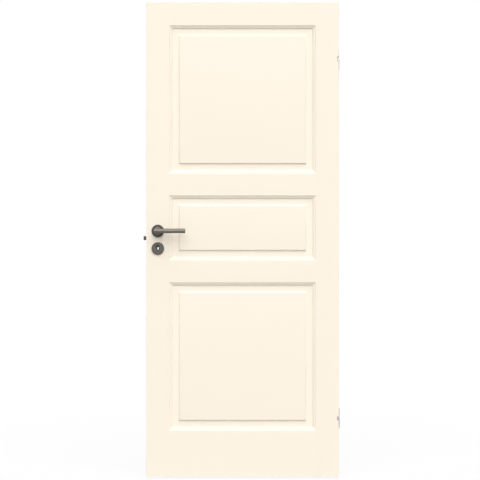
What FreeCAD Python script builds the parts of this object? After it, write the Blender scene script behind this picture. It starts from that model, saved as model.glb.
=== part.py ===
import FreeCAD, Part
import math
import os

import Sketcher


# An interior panel door: a stile and rail leaf with three raised panels, its lever handle set,
# its mortise lock and its two lift-off hinges.
# X runs from the latch edge to the hinge edge, Y from the front face to the back face, Z is up.
# The origin lies on the flat mounting face of the lower hinge's frame plate, at its middle.

doc = FreeCAD.newDocument("interior_door")
sheet = doc.addObject("Spreadsheet::Sheet", "size")

# Each row: alias, millimetres or degrees, what it measures.
DRIVING_SIZES = [
    ("leaf_width", 829, "leaf from latch edge to hinge edge"),
    ("leaf_height", 2040, "leaf from bottom to top"),
    ("leaf_thickness", 40, "leaf from front face to back face"),
    ("stile_face", 98, "flat face of a stile, edge to arris"),
    ("top_rail_face", 97, "flat face of the top rail"),
    ("bottom_rail_face", 198, "flat face of the bottom rail"),
    ("middle_rail_face", 93, "flat face of each middle rail"),
    ("middle_opening", 281, "height of the middle panel opening, face to face"),
    ("bead_width", 4.8, "rounded bead that rolls over from the face"),
    ("bead_drop", 4.4, "that bead's fall"),
    ("shelf_width", 2.4, "flat between the bead and the ovolo"),
    ("ovolo_width", 6.8, "ovolo across the moulding"),
    ("ovolo_drop", 5.6, "ovolo's fall"),
    ("fillet_width", 2.8, "small flat below the ovolo"),
    ("floor_depth", 11, "sunk margin of the panel below the face"),
    ("groove_width", 12, "panel groove across the thickness"),
    ("groove_depth", 10, "panel groove into the moulded edge"),
    ("edge_round", 1.5, "rounded outer arris of the leaf"),
    ("glue_line", 0.1, "end clearance of the joints and the panel tongues"),
    ("tongue_play", 2, "room behind a panel tongue in its groove"),
    ("margin_width", 22.5, "flat sunk margin of a panel"),
    ("rise_width", 8, "S-curved rise of a panel"),
    ("field_depth", 4, "raised field of a panel below the face"),
    ("handle_height", 1057, "lever axis above the bottom of the leaf"),
    ("backset", 50, "lever and key axis in from the latch edge"),
    ("key_drop", 75, "key axis below the lever axis"),
    ("latch_drop", 31, "latch bolt below the lever axis"),
    ("rose_radius", 27, "lever rose"),
    ("rose_thickness", 7, "lever rose and key rose off the face"),
    ("key_rose_radius", 27, "key rose"),
    ("collar_radius", 17.5, "collar of the lever in front of its rose"),
    ("collar_length", 8, "collar along the neck"),
    ("collar_gap", 0.5, "running gap between the collar and its rose"),
    ("neck_radius", 10, "neck of the lever"),
    ("neck_play", 0.3, "running clearance of the neck in its rose"),
    ("bar_radius", 10, "lever bar"),
    ("bar_distance", 48, "lever bar's axis off the face"),
    ("bar_reach", 119.5, "lever bar's free end from the lever axis"),
    ("bar_heel", 14, "lever bar's short end from the lever axis"),
    ("bar_edge", 2, "eased free end of the lever bar"),
    ("spindle_width", 8, "square spindle"),
    ("spindle_play", 0.05, "clearance of the spindle in its sockets"),
    ("socket_depth", 26, "square socket in a lever neck"),
    ("spindle_end_play", 0.5, "room between each end of the spindle and its socket's bottom"),
    ("follower_radius", 10, "lock follower"),
    ("follower_play", 0.3, "running clearance of the follower"),
    ("handle_bore", 24, "bore of the stile at the lever axis"),
    ("key_head_radius", 7.8, "round head of the keyhole in a key rose"),
    ("key_head_rise", 8.5, "centre of that head above the key axis"),
    ("key_slot_width", 8, "slot of the keyhole in a key rose"),
    ("key_slot_length", 18.5, "slot of the keyhole below its head's centre"),
    ("ward_head_radius", 3.5, "round head of the keyhole in the lock case"),
    ("ward_head_rise", 1.6, "centre of that head above the key axis"),
    ("ward_slot_width", 4.8, "slot of the keyhole in the lock case"),
    ("ward_slot_length", 7.2, "slot of that keyhole below its head's centre"),
    ("key_passage_width", 20, "passage of the stile behind a key rose"),
    ("key_passage_height", 36, "height of that passage"),
    ("case_thickness", 15, "lock case across the leaf"),
    ("case_depth", 76, "lock case from faceplate to its back"),
    ("case_above", 26, "lock case above the lever axis"),
    ("case_below", 34, "lock case below the key axis"),
    ("case_play", 0.5, "room round the lock case in its mortise"),
    ("faceplate_width", 22, "faceplate across the edge"),
    ("faceplate_height", 168, "faceplate from end to end"),
    ("faceplate_thickness", 3, "faceplate let into the edge"),
    ("faceplate_play", 0.2, "room round the faceplate"),
    ("latch_height", 17, "latch bolt from bottom to top"),
    ("latch_width", 12, "latch bolt across the leaf"),
    ("latch_throw", 12.8, "latch bolt proud of the edge"),
    ("latch_nose", 3, "blunt nose of the latch bolt"),
    ("latch_tail", 34, "latch bolt's length inside the edge"),
    ("latch_travel", 12, "latch bolt's way in"),
    ("latch_play", 0.35, "running clearance of the latch bolt"),
    ("edge_gap", 3, "gap between the hinge edge and the frame"),
    ("lower_hinge_height", 250, "lower hinge's middle above the bottom of the leaf"),
    ("upper_hinge_drop", 243, "upper hinge's middle below the top of the leaf"),
    ("hinge_height", 90, "hinge plate from bottom to top"),
    ("hinge_plate_width", 26, "hinge plate let in from the back face"),
    ("hinge_plate_thickness", 2.5, "hinge plate"),
    ("hinge_play", 0.1, "room round a door plate in its recess"),
    ("screw_rows", 12, "rows of a hinge plate's screw holes, across the leaf"),
    ("screw_spacing", 64, "screw holes of a hinge plate, up the leaf"),
    ("screw_radius", 2.25, "screw hole of a frame plate"),
    ("knuckle_radius", 6.5, "hinge knuckle"),
    ("knuckle_gap", 2, "knuckle off the back face of the leaf"),
    ("knuckle_lift", 0.3, "bearing gap between the two knuckles of a hinge"),
    ("pin_radius", 4, "hinge pin"),
    ("pin_play", 0.05, "running clearance of the pin"),
    ("pin_end", 6, "solid end of each knuckle beyond the pin"),
    ("notch_height", 21, "notch in the hinge edge at each hinge"),
    ("notch_depth", 7, "that notch into the edge"),
]
for row, (alias, value, meaning) in enumerate(DRIVING_SIZES, 1):
    sheet.set("A%d" % row, meaning)
    sheet.set("B%d" % row, str(value))
    sheet.setAlias("B%d" % row, alias)
doc.recompute()

# Places and sizes that follow from the driving ones, as expressions on the sheet.
HALF = "size.leaf_thickness / 2"
LEAF_RIGHT = "(-size.hinge_plate_thickness - size.edge_gap)"
LEAF_LEFT = "(%s - size.leaf_width)" % LEAF_RIGHT
LEAF_BOTTOM = "(-size.lower_hinge_height)"
LEAF_TOP = "(size.leaf_height - size.lower_hinge_height)"
STICKING = "(size.bead_width + size.shelf_width + size.ovolo_width + size.fillet_width)"
OPENING_WIDTH = "(size.leaf_width - 2 * size.stile_face)"
TALL_OPENING = ("((size.leaf_height - size.top_rail_face - size.bottom_rail_face"
                " - 2 * size.middle_rail_face - size.middle_opening) / 2)")
LOWER_OPENING_AT = "(%s + size.bottom_rail_face)" % LEAF_BOTTOM
LOWER_RAIL_AT = "(%s + %s)" % (LOWER_OPENING_AT, TALL_OPENING)
MIDDLE_OPENING_AT = "(%s + size.middle_rail_face)" % LOWER_RAIL_AT
UPPER_RAIL_AT = "(%s + size.middle_opening)" % MIDDLE_OPENING_AT
UPPER_OPENING_AT = "(%s + size.middle_rail_face)" % UPPER_RAIL_AT
TOP_RAIL_AT = "(%s + %s)" % (UPPER_OPENING_AT, TALL_OPENING)
HANDLE_X = "(%s + size.backset)" % LEAF_LEFT
HANDLE_Z = "(%s + size.handle_height)" % LEAF_BOTTOM
KEY_Z = "(%s - size.key_drop)" % HANDLE_Z
LATCH_Z = "(%s - size.latch_drop)" % HANDLE_Z
CASE_HEIGHT = "(size.case_above + size.key_drop + size.case_below)"
CASE_MIDDLE = "(size.handle_height + size.case_above - %s / 2)" % CASE_HEIGHT
PIN_X = "(-size.knuckle_radius)"
PIN_Y = "(%s + size.knuckle_gap + size.knuckle_radius)" % HALF
LOWER_HINGE_Z = "0"
UPPER_HINGE_Z = "(%s - size.upper_hinge_drop)" % LEAF_TOP

FRONT, BACK = -1, 1


def number(expression):
    return float(sheet.evalExpression(expression))


def origin_part(body, role):
    return [part for part in body.Origin.OriginFeatures if part.Role == role][0]


def new_body(label, across="0", depth="0", up="0"):
    body = doc.addObject("PartDesign::Body", label)
    body.Label = label
    body.setExpression("Placement.Base.x", across)
    body.setExpression("Placement.Base.y", depth)
    body.setExpression("Placement.Base.z", up)
    return body


def new_sketch(body, name, role, offset="0"):
    sketch = body.newObject("Sketcher::SketchObject", name)
    sketch.AttachmentSupport = (origin_part(body, role), [""])
    sketch.MapMode = "FlatFace"
    sketch.setExpression("AttachmentOffset.Base.z", offset)
    return sketch


def bind(sketch, kind, expression, *places):
    index = sketch.addConstraint(Sketcher.Constraint(kind, *places, number(expression)))
    sketch.setExpression("Constraints[%d]" % index, expression)


def arc_between(start, end, radius, side):
    """An arc that bulges to the left (side 1) or to the right (side -1) of the way it is walked."""
    chord = end - start
    left = FreeCAD.Vector(-chord.y, chord.x, 0).normalize()
    reach = math.sqrt(radius ** 2 - (chord.Length / 2) ** 2)
    centre = start + chord * 0.5 - left * (reach * side)
    angles = [math.atan2(point.y - centre.y, point.x - centre.x) for point in (start, end)]
    if side > 0:
        angles.reverse()
    circle = Part.Circle(centre, FreeCAD.Vector(0, 0, 1), radius)
    return Part.ArcOfCircle(circle, angles[0], angles[1])


def draw(sketch, corners):
    """A closed outline. A corner is (across, up), or (across, up, radius, side) after an arc."""
    points = [FreeCAD.Vector(number(corner[0]), number(corner[1]), 0) for corner in corners]
    ends = []
    for index, corner in enumerate(corners):
        start, end = points[index - 1], points[index]
        if len(corner) == 2:
            edge = sketch.addGeometry(Part.LineSegment(start, end))
            ends.append((edge, 1, 2))
        else:
            radius, side = corner[2], corner[3]
            edge = sketch.addGeometry(arc_between(start, end, number(radius), side))
            ends.append((edge, 2, 1) if side > 0 else (edge, 1, 2))
            bind(sketch, "Radius", radius, edge)
    for index, (edge, first, last) in enumerate(ends):
        after = ends[(index + 1) % len(ends)]
        sketch.addConstraint(Sketcher.Constraint("Coincident", edge, last, after[0], after[1]))
        bind(sketch, "DistanceX", corners[index][0], -1, 1, edge, last)
        bind(sketch, "DistanceY", corners[index][1], -1, 1, edge, last)
    return sketch


def rectangle(left, bottom, right, top):
    return [(left, bottom), (right, bottom), (right, top), (left, top)]


def draw_circle(sketch, across, up, radius):
    place = FreeCAD.Vector(number(across), number(up), 0)
    edge = sketch.addGeometry(Part.Circle(place, FreeCAD.Vector(0, 0, 1), number(radius)))
    bind(sketch, "Radius", radius, edge)
    bind(sketch, "DistanceX", across, -1, 1, edge, 3)
    bind(sketch, "DistanceY", up, -1, 1, edge, 3)
    return sketch


def sized(body, kind, sketch, length, symmetric=False, against=False):
    feature = body.newObject(kind, sketch.Name + "_solid")
    feature.Profile = sketch
    feature.setExpression("Length", length)
    if symmetric:
        feature.SideType = "Symmetric"
    feature.Reversed = against
    return feature


def pad(body, sketch, length, symmetric=False, against=False):
    return sized(body, "PartDesign::Pad", sketch, length, symmetric, against)


def pocket(body, sketch, length, symmetric=False, against=False):
    """A cut that has to take material away, or the direction is wrong."""
    doc.recompute()
    before = body.Shape.Volume
    feature = sized(body, "PartDesign::Pocket", sketch, length, symmetric, against)
    doc.recompute()
    if not body.Shape.Volume < before - 1:
        raise RuntimeError("%s cuts nothing" % feature.Name)
    return feature


def revolve(body, sketch, role):
    feature = body.newObject("PartDesign::Revolution", sketch.Name + "_solid")
    feature.Profile = sketch
    feature.ReferenceAxis = (origin_part(body, role), [""])
    feature.Angle = 360
    return feature


def flipped(path, across=1, up=1):
    """The path mirrored, its arcs still bulging the same way off the wood."""
    turned = []
    for corner in path:
        place = ("%d * (%s)" % (across, corner[0]), "%d * (%s)" % (up, corner[1]))
        turned.append(place + ((corner[2], corner[3] * across * up) if len(corner) > 2 else ()))
    return turned


def walked_back(path):
    """The path walked from its end to its start."""
    arcs = [corner[2:] for corner in path[1:]] + [()]
    turned = []
    for corner, arc in zip(path, arcs):
        turned.append(corner[:2] + ((arc[0], -arc[1]) if arc else ()))
    return turned[::-1]


def shifted(path, across):
    return [("(%s) + %s" % (corner[0], across),) + corner[1:] for corner in path]


def swapped(path):
    """Across and up changed over, which turns the bulges round."""
    return [(c[1], c[0]) + ((c[2], -c[3]) if len(c) > 2 else ()) for c in path]


def rolling_radius(part):
    """The radius of an arc that starts level and falls by the part's drop over its width."""
    return "(size.%s_width ^ 2 + size.%s_drop ^ 2) / (2 * size.%s_drop)" % (part, part, part)


def moulded_edge(face):
    """A stile's or rail's moulded edge, from the back face round the groove to the front face.

    Across is the way into the opening, up is the thickness: a bead that rolls over from the
    face, a shelf, an ovolo, a small fillet at the depth of the panel's sunk margin, and the
    groove. The bead and the ovolo both start level, so each gets steeper as it falls.
    """
    bead = "%s + size.bead_width" % face
    shelf = "%s + size.shelf_width" % bead
    ovolo = "%s + size.ovolo_width" % shelf
    lip = "%s + size.fillet_width" % ovolo
    step = "%s - size.bead_drop" % HALF
    back_half = [
        (face, HALF),
        (bead, step, rolling_radius("bead"), 1),
        (shelf, step),
        (ovolo, "%s - size.ovolo_drop" % step, rolling_radius("ovolo"), 1),
        (ovolo, "%s - size.floor_depth" % HALF),
        (lip, "%s - size.floor_depth" % HALF),
        (lip, "size.groove_width / 2"),
        ("%s - size.groove_depth" % lip, "size.groove_width / 2"),
    ]
    return back_half + walked_back(flipped(back_half, 1, -1))


def plain_edge(face):
    """An outer edge of the leaf with rounded arrises, from the back face to the front face."""
    round_start = "%s - size.edge_round" % face
    back_half = [
        (round_start, HALF),
        (face, HALF + " - size.edge_round", "size.edge_round", 1),
    ]
    return back_half + walked_back(flipped(back_half, 1, -1))


def stile_section(side):
    """Side 1 has its moulding towards +X, side -1 towards -X. The outer edge is at 0."""
    outer_edge = walked_back(flipped(plain_edge("0"), -1, 1))
    return flipped(outer_edge + moulded_edge("size.stile_face"), side, 1)


def stile(label, side, across):
    body = new_body(label, across, "0", LEAF_BOTTOM)
    section = draw(new_sketch(body, label + "_section", "XY_Plane"), stile_section(side))
    pad(body, section, "size.leaf_height")
    return body


def coped_ends(body, label):
    """Both ends of a rail cut to the stiles' own section, so they fit over its moulding."""
    for name, side, across in (("latch", 1, "size.glue_line"),
                               ("hinge", -1, "size.leaf_width - size.glue_line")):
        cut = new_sketch(body, "%s_%s_cope" % (label, name), "XY_Plane")
        draw(cut, shifted(stile_section(side), across))
        pocket(body, cut, "4 * size.leaf_height", symmetric=True)


def rail(label, up, face, below, above):
    """A rail from stile to stile. Below and above say which edges carry the moulding."""
    body = new_body(label, LEAF_LEFT, "0", up)
    top_edge = swapped(moulded_edge(face) if above else plain_edge(face))
    edge_below = swapped(moulded_edge("0") if below else plain_edge("0"))
    bottom_edge = walked_back(flipped(edge_below, 1, -1))
    section = new_sketch(body, label + "_section", "YZ_Plane", "size.stile_face / 2")
    draw(section, top_edge + bottom_edge)
    pad(body, section, "size.leaf_width - size.stile_face")
    coped_ends(body, label)
    return body


def panel_section(opening):
    """A raised panel cut across: tongues, sunk margins and the field between S-curved rises."""
    edge = "(%s / 2 - %s - size.glue_line)" % (opening, STICKING)
    tip = "(%s + size.groove_depth - size.tongue_play)" % edge
    foot = "(%s - size.margin_width)" % edge
    crest = "(%s - size.rise_width)" % foot
    floor = "(%s - size.floor_depth)" % HALF
    field = "(%s - size.field_depth)" % HALF
    rise = "(size.floor_depth - size.field_depth)"
    bend = "(((size.rise_width / 2) ^ 2 + (%s / 2) ^ 2) / %s)" % (rise, rise)
    tongue = "size.groove_width / 2 - size.glue_line"
    right_back = [
        (tip, "0"),
        (tip, tongue),
        (edge, tongue),
        (edge, floor),
        (foot, floor),
        ("(%s + %s) / 2" % (foot, crest), "(%s + %s) / 2" % (floor, field), bend, -1),
        (crest, field, bend, 1),
    ]
    left_back = walked_back(flipped(right_back, -1, 1))
    back = right_back + left_back
    return back + walked_back(flipped(back, 1, -1))[1:-1]


def panel(label, bottom, height):
    """A raised panel: its level section runs up, then its upright section cuts all round it."""
    middle = "%s + %s / 2" % (bottom, height)
    body = new_body(label, "%s + size.leaf_width / 2" % LEAF_LEFT, "0", middle)
    level = draw(new_sketch(body, label + "_level", "XY_Plane"), panel_section(OPENING_WIDTH))
    pad(body, level, "%s" % height, symmetric=True)
    upright = new_sketch(body, label + "_upright", "YZ_Plane")
    draw(upright, swapped(panel_section(height)))
    draw(upright, rectangle("-size.leaf_thickness", "-" + height, "size.leaf_thickness", height))
    pocket(body, upright, "2 * size.leaf_width", symmetric=True)
    return body


def edge_slot(body, name, middle, width, height):
    """A slot with round ends, on the plane of the latch edge."""
    radius = "(%s) / 2" % width
    top = "%s + (%s) / 2 - %s" % (middle, height, radius)
    bottom = "%s - (%s) / 2 + %s" % (middle, height, radius)
    outline = [
        ("-" + radius, bottom), ("0", "%s - %s" % (bottom, radius), radius, -1),
        (radius, bottom, radius, -1), (radius, top),
        ("0", "%s + %s" % (top, radius), radius, -1), ("-" + radius, top, radius, -1),
    ]
    return draw(new_sketch(body, name, "YZ_Plane"), outline)


def latch_stile():
    body = stile("latch_stile", 1, LEAF_LEFT)
    recess = edge_slot(body, "faceplate_recess", CASE_MIDDLE,
                       "size.faceplate_width + 2 * size.faceplate_play",
                       "size.faceplate_height + 2 * size.faceplate_play")
    pocket(body, recess, "size.faceplate_thickness", against=True)
    half = "size.case_thickness / 2 + size.case_play"
    mortise = new_sketch(body, "lock_mortise", "YZ_Plane")
    draw(mortise, rectangle("-(%s)" % half,
                            "%s - %s / 2 - size.case_play" % (CASE_MIDDLE, CASE_HEIGHT),
                            half, "%s + %s / 2 + size.case_play" % (CASE_MIDDLE, CASE_HEIGHT)))
    pocket(body, mortise, "size.faceplate_thickness + size.case_depth + size.case_play",
           against=True)
    bore = new_sketch(body, "lever_bore", "XZ_Plane")
    draw_circle(bore, "size.backset", "size.handle_height", "size.handle_bore / 2")
    pocket(body, bore, "2 * size.leaf_thickness", symmetric=True)
    passage = new_sketch(body, "key_passage", "XZ_Plane")
    key = "size.handle_height - size.key_drop"
    draw(passage, rectangle("size.backset - size.key_passage_width / 2",
                            "%s - size.key_passage_height / 2" % key,
                            "size.backset + size.key_passage_width / 2",
                            "%s + size.key_passage_height / 2" % key))
    pocket(body, passage, "2 * size.leaf_thickness", symmetric=True)


def hinge_stile():
    body = stile("hinge_stile", -1, LEAF_RIGHT)
    places = (("lower", "size.lower_hinge_height"),
              ("upper", "size.leaf_height - size.upper_hinge_drop"))
    for name, middle in places:
        recess = new_sketch(body, name + "_plate_recess", "YZ_Plane")
        room = "(size.hinge_height / 2 + size.hinge_play)"
        draw(recess, rectangle("%s - size.hinge_plate_width - size.hinge_play" % HALF,
                               "%s - %s" % (middle, room), HALF + " + size.knuckle_gap",
                               "%s + %s" % (middle, room)))
        pocket(body, recess, "size.hinge_plate_thickness + size.hinge_play")
        notch = new_sketch(body, name + "_notch", "XZ_Plane")
        draw(notch, rectangle("-size.notch_depth", "%s - size.notch_height / 2" % middle,
                              "size.notch_depth", "%s + size.notch_height / 2" % middle))
        pocket(body, notch, "2 * size.leaf_thickness", symmetric=True)


def rose(label, side, radius, up):
    """A shallow round cap on the face of the stile."""
    body = new_body(label, HANDLE_X, "%d * %s" % (side, HALF), up)
    disc = draw_circle(new_sketch(body, label + "_disc", "XZ_Plane"), "0", "0", radius)
    pad(body, disc, "size.rose_thickness", against=side > 0)
    return body


def lever_rose(label, side):
    body = rose(label, side, "size.rose_radius", HANDLE_Z)
    hole = new_sketch(body, label + "_bore", "XZ_Plane")
    draw_circle(hole, "0", "0", "size.neck_radius + size.neck_play")
    pocket(body, hole, "4 * size.rose_thickness", symmetric=True)


def keyhole(body, part, across, centre, depth):
    """A round head with a straight slot below it. Part names the head's and the slot's sizes."""
    head = new_sketch(body, part + "_head", "XZ_Plane")
    draw_circle(head, across, centre, "size.%s_head_radius" % part)
    pocket(body, head, depth, symmetric=True)
    slot = new_sketch(body, part + "_slot", "XZ_Plane")
    draw(slot, rectangle("%s - size.%s_slot_width / 2" % (across, part),
                         "%s - size.%s_slot_length" % (centre, part),
                         "%s + size.%s_slot_width / 2" % (across, part), centre))
    pocket(body, slot, depth, symmetric=True)


def key_rose(label, side):
    body = rose(label, side, "size.key_rose_radius", KEY_Z)
    keyhole(body, "key", "0", "size.key_head_rise", "4 * size.rose_thickness")


def lever(label, side):
    """A round bar on a round neck. The two axes cross at the body's own origin."""
    body = new_body(label, HANDLE_X, "%d * (%s + size.bar_distance)" % (side, HALF), HANDLE_Z)
    bar = [("-size.bar_heel", "0"), ("-size.bar_heel", "size.bar_radius"),
           ("size.bar_reach - size.bar_edge", "size.bar_radius"),
           ("size.bar_reach", "size.bar_radius - size.bar_edge"), ("size.bar_reach", "0")]
    bar_profile = draw(new_sketch(body, label + "_bar", "XY_Plane"), flipped(bar, 1, -side))
    revolve(body, bar_profile, "X_Axis")
    foot = "size.bar_distance"
    collar_back = "%s - size.rose_thickness - size.collar_gap" % foot
    collar_front = "(%s - size.collar_length)" % collar_back
    neck = [("0", "0"), ("size.neck_radius", "0"), ("size.neck_radius", collar_front),
            ("size.collar_radius", collar_front), ("size.collar_radius", collar_back),
            ("size.neck_radius", collar_back),
            ("size.neck_radius", foot), ("0", foot)]
    profile = draw(new_sketch(body, label + "_neck", "XY_Plane"), flipped(neck, 1, -side))
    revolve(body, profile, "Y_Axis")
    socket = new_sketch(body, label + "_socket", "XZ_Plane", "%d * size.bar_distance" % side)
    half = "size.spindle_width / 2 + size.spindle_play"
    draw(socket, rectangle("-(%s)" % half, "-(%s)" % half, half, half))
    pocket(body, socket, "2 * size.socket_depth", symmetric=True)


def spindle():
    body = new_body("spindle", HANDLE_X, "0", HANDLE_Z)
    half = "size.spindle_width / 2"
    section = draw(new_sketch(body, "spindle_section", "XZ_Plane"),
                   rectangle("-" + half, "-" + half, half, half))
    pad(body, section, "size.leaf_thickness + 2 * (size.socket_depth - size.spindle_end_play)",
        symmetric=True)


def lock_follower():
    body = new_body("lock_follower", HANDLE_X, "0", HANDLE_Z)
    hub = draw_circle(new_sketch(body, "follower_hub", "XZ_Plane"), "0", "0",
                      "size.follower_radius")
    half = "size.spindle_width / 2 + size.spindle_play"
    draw(hub, rectangle("-(%s)" % half, "-(%s)" % half, half, half))
    pad(body, hub, "size.case_thickness", symmetric=True)


def lock_case():
    body = new_body("lock_case", "%s + size.faceplate_thickness" % LEAF_LEFT, "0",
                    "%s + %s" % (LEAF_BOTTOM, CASE_MIDDLE))
    tall = "%s / 2" % CASE_HEIGHT
    side_view = new_sketch(body, "case_outline", "XZ_Plane")
    draw(side_view, rectangle("0", "-" + tall, "size.case_depth", tall))
    pad(body, side_view, "size.case_thickness", symmetric=True)
    axis = "size.backset - size.faceplate_thickness"
    hub = new_sketch(body, "follower_bore", "XZ_Plane")
    draw_circle(hub, axis, "%s - size.case_above" % tall,
                "size.follower_radius + size.follower_play")
    pocket(body, hub, "2 * size.case_thickness", symmetric=True)
    key = "%s - size.case_above - size.key_drop" % tall
    keyhole(body, "ward", axis, key + " + size.ward_head_rise", "2 * size.case_thickness")
    channel = new_sketch(body, "latch_channel", "YZ_Plane")
    wide = "size.latch_width / 2 + size.latch_play"
    high = "size.latch_height / 2 + size.latch_play"
    level = "%s - size.case_above - size.latch_drop" % tall
    draw(channel, rectangle("-(%s)" % wide, "%s - (%s)" % (level, high),
                            wide, "%s + %s" % (level, high)))
    pocket(body, channel, "size.latch_tail + size.latch_travel", against=True)


def faceplate():
    body = new_body("lock_faceplate", LEAF_LEFT, "0", LEAF_BOTTOM)
    outline = edge_slot(body, "faceplate_outline", CASE_MIDDLE, "size.faceplate_width",
                        "size.faceplate_height")
    pad(body, outline, "size.faceplate_thickness")
    window = new_sketch(body, "latch_window", "YZ_Plane")
    wide = "size.latch_width / 2 + size.latch_play"
    high = "size.latch_height / 2 + size.latch_play"
    level = "size.handle_height - size.latch_drop"
    draw(window, rectangle("-(%s)" % wide, "%s - (%s)" % (level, high),
                           wide, "%s + %s" % (level, high)))
    pocket(body, window, "size.faceplate_thickness", against=True)


def latch_bolt():
    """A spring latch, bevelled on the side that meets the frame as the door closes."""
    body = new_body("latch_bolt", LEAF_LEFT, "0", LATCH_Z)
    half = "size.latch_width / 2"
    level = [
        ("-size.latch_throw", half), ("-size.latch_throw", "%s - size.latch_nose" % half),
        ("-size.faceplate_thickness / 2", "-" + half), ("size.latch_tail", "-" + half),
        ("size.latch_tail", half),
    ]
    pad(body, draw(new_sketch(body, "latch_level", "XY_Plane"), level), "size.latch_height",
        symmetric=True)


def screw_holes(body, name):
    """Four screw holes through a frame plate."""
    holes = new_sketch(body, name + "_screw_holes", "YZ_Plane", "-" + PIN_X)
    middle = "(%s - size.hinge_plate_width / 2 - %s)" % (HALF, PIN_Y)
    for row in -1, 1:
        for level in -1, 1:
            draw_circle(holes, "%s + %d * size.screw_rows / 2" % (middle, row),
                        "%d * size.screw_spacing / 2" % level, "size.screw_radius")
    pocket(body, holes, "2 * size.hinge_plate_thickness", symmetric=True)


def hinge_half(label, up, plate_left, end):
    """A plate and its knuckle. End is 1 for the upper knuckle, -1 for the lower one."""
    body = new_body(label, PIN_X, PIN_Y, up)
    left = "%s - %s" % (plate_left, PIN_X)
    right = left + " + size.hinge_plate_thickness"
    face = "%s - %s" % (HALF, PIN_Y)
    half = "size.hinge_height / 2"
    plate = new_sketch(body, label + "_plate", "XY_Plane")
    draw(plate, rectangle(left, face + " - size.hinge_plate_width", right, face))
    pad(body, plate, "size.hinge_height", symmetric=True)
    start = "%d * size.knuckle_lift / 2" % end
    length = "%s - size.knuckle_lift / 2" % half
    knuckle = draw_circle(new_sketch(body, label + "_knuckle", "XY_Plane", start), "0", "0",
                          "size.knuckle_radius")
    pad(body, knuckle, length, against=end < 0)
    web = new_sketch(body, label + "_web", "XY_Plane", start)
    draw(web, rectangle(left, face + " - size.knuckle_gap", right, "0"))
    pad(body, web, length, against=end < 0)
    bore = new_sketch(body, label + "_bore", "XY_Plane")
    draw_circle(bore, "0", "0", "size.pin_radius + size.pin_play")
    pocket(body, bore, "%s - size.pin_end" % half, against=end > 0)
    return body


def hinge(name, up):
    """A lift-off hinge: the frame's half with its pin below, the door's half above."""
    frame_half = hinge_half(name + "_hinge_frame_half", up, "-size.hinge_plate_thickness", -1)
    screw_holes(frame_half, name)
    hinge_half(name + "_hinge_door_half", up, LEAF_RIGHT + " - size.hinge_plate_thickness", 1)
    body = new_body(name + "_hinge_pin", PIN_X, PIN_Y, up)
    pin = draw_circle(new_sketch(body, name + "_pin_section", "XY_Plane"), "0", "0",
                      "size.pin_radius")
    pad(body, pin, "size.hinge_height - 2 * size.pin_end - 2 * size.knuckle_lift",
        symmetric=True)


latch_stile()
hinge_stile()
rail("bottom_rail", LEAF_BOTTOM, "size.bottom_rail_face", False, True)
rail("lower_middle_rail", LOWER_RAIL_AT, "size.middle_rail_face", True, True)
rail("upper_middle_rail", UPPER_RAIL_AT, "size.middle_rail_face", True, True)
rail("top_rail", TOP_RAIL_AT, "size.top_rail_face", True, False)
panel("lower_panel", LOWER_OPENING_AT, TALL_OPENING)
panel("middle_panel", MIDDLE_OPENING_AT, "size.middle_opening")
panel("upper_panel", UPPER_OPENING_AT, TALL_OPENING)
lock_case()
faceplate()
latch_bolt()
lock_follower()
spindle()
for face_name, face_side in (("front", FRONT), ("back", BACK)):
    lever_rose(face_name + "_lever_rose", face_side)
    key_rose(face_name + "_key_rose", face_side)
    lever(face_name + "_lever", face_side)
hinge("lower", LOWER_HINGE_Z)
hinge("upper", UPPER_HINGE_Z)

doc.recompute()
for item in doc.Objects:
    if {"Invalid", "Error"} & set(item.State):
        raise RuntimeError("%s did not build: %s" % (item.Label, item.State))
bodies = [item for item in doc.Objects if item.TypeId == "PartDesign::Body"]
for body in bodies:
    if body.Shape.isNull() or not body.Shape.isValid() or len(body.Shape.Solids) != 1:
        raise RuntimeError("%s is not one sound solid" % body.Label)
os.makedirs("parts", exist_ok=True)
for body in bodies:
    body.Shape.exportStep("parts/%s.step" % body.Label)
    print("%-26s %9.1f cm3" % (body.Label, body.Shape.Volume / 1000))
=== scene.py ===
# %% [markdown]
# # An interior panel door
# This lesson dresses a finished model of a painted door. The solids come from the imported frame,
# so every piece below is placed from a measured box and never moved by hand. The looks may not
# change its size.

# %% Load the frame
import math
from itertools import zip_longest

import bmesh
import bpy
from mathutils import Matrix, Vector


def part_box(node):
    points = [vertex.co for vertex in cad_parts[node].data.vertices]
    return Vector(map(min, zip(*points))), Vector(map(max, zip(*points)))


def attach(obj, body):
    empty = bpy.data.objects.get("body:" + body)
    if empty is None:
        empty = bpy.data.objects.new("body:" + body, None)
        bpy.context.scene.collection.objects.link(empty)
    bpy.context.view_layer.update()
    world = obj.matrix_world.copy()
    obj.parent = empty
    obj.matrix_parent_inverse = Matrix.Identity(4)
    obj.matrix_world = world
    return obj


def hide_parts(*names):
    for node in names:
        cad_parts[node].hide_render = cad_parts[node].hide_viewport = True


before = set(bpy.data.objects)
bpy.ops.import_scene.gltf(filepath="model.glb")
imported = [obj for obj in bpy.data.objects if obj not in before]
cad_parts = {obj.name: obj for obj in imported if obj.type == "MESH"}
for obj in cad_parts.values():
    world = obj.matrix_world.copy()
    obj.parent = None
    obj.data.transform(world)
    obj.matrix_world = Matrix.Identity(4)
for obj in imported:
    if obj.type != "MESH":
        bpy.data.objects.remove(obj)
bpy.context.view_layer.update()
MM = 0.001
scene = bpy.context.scene

# %% [markdown]
# The leaf is six boards and three panels. Its box gives the four edges that everything else is
# set out from. The lever's own axis is the middle of its rose, and the key's is the middle of
# the key rose.

# %% Measure the leaf and its fittings
RAILS = ("bottom_rail", "lower_middle_rail", "upper_middle_rail", "top_rail")
PANELS = ("lower_panel", "middle_panel", "upper_panel")
HINGES = ("lower", "upper")
FACES = {"front": -1, "back": 1}

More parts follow.
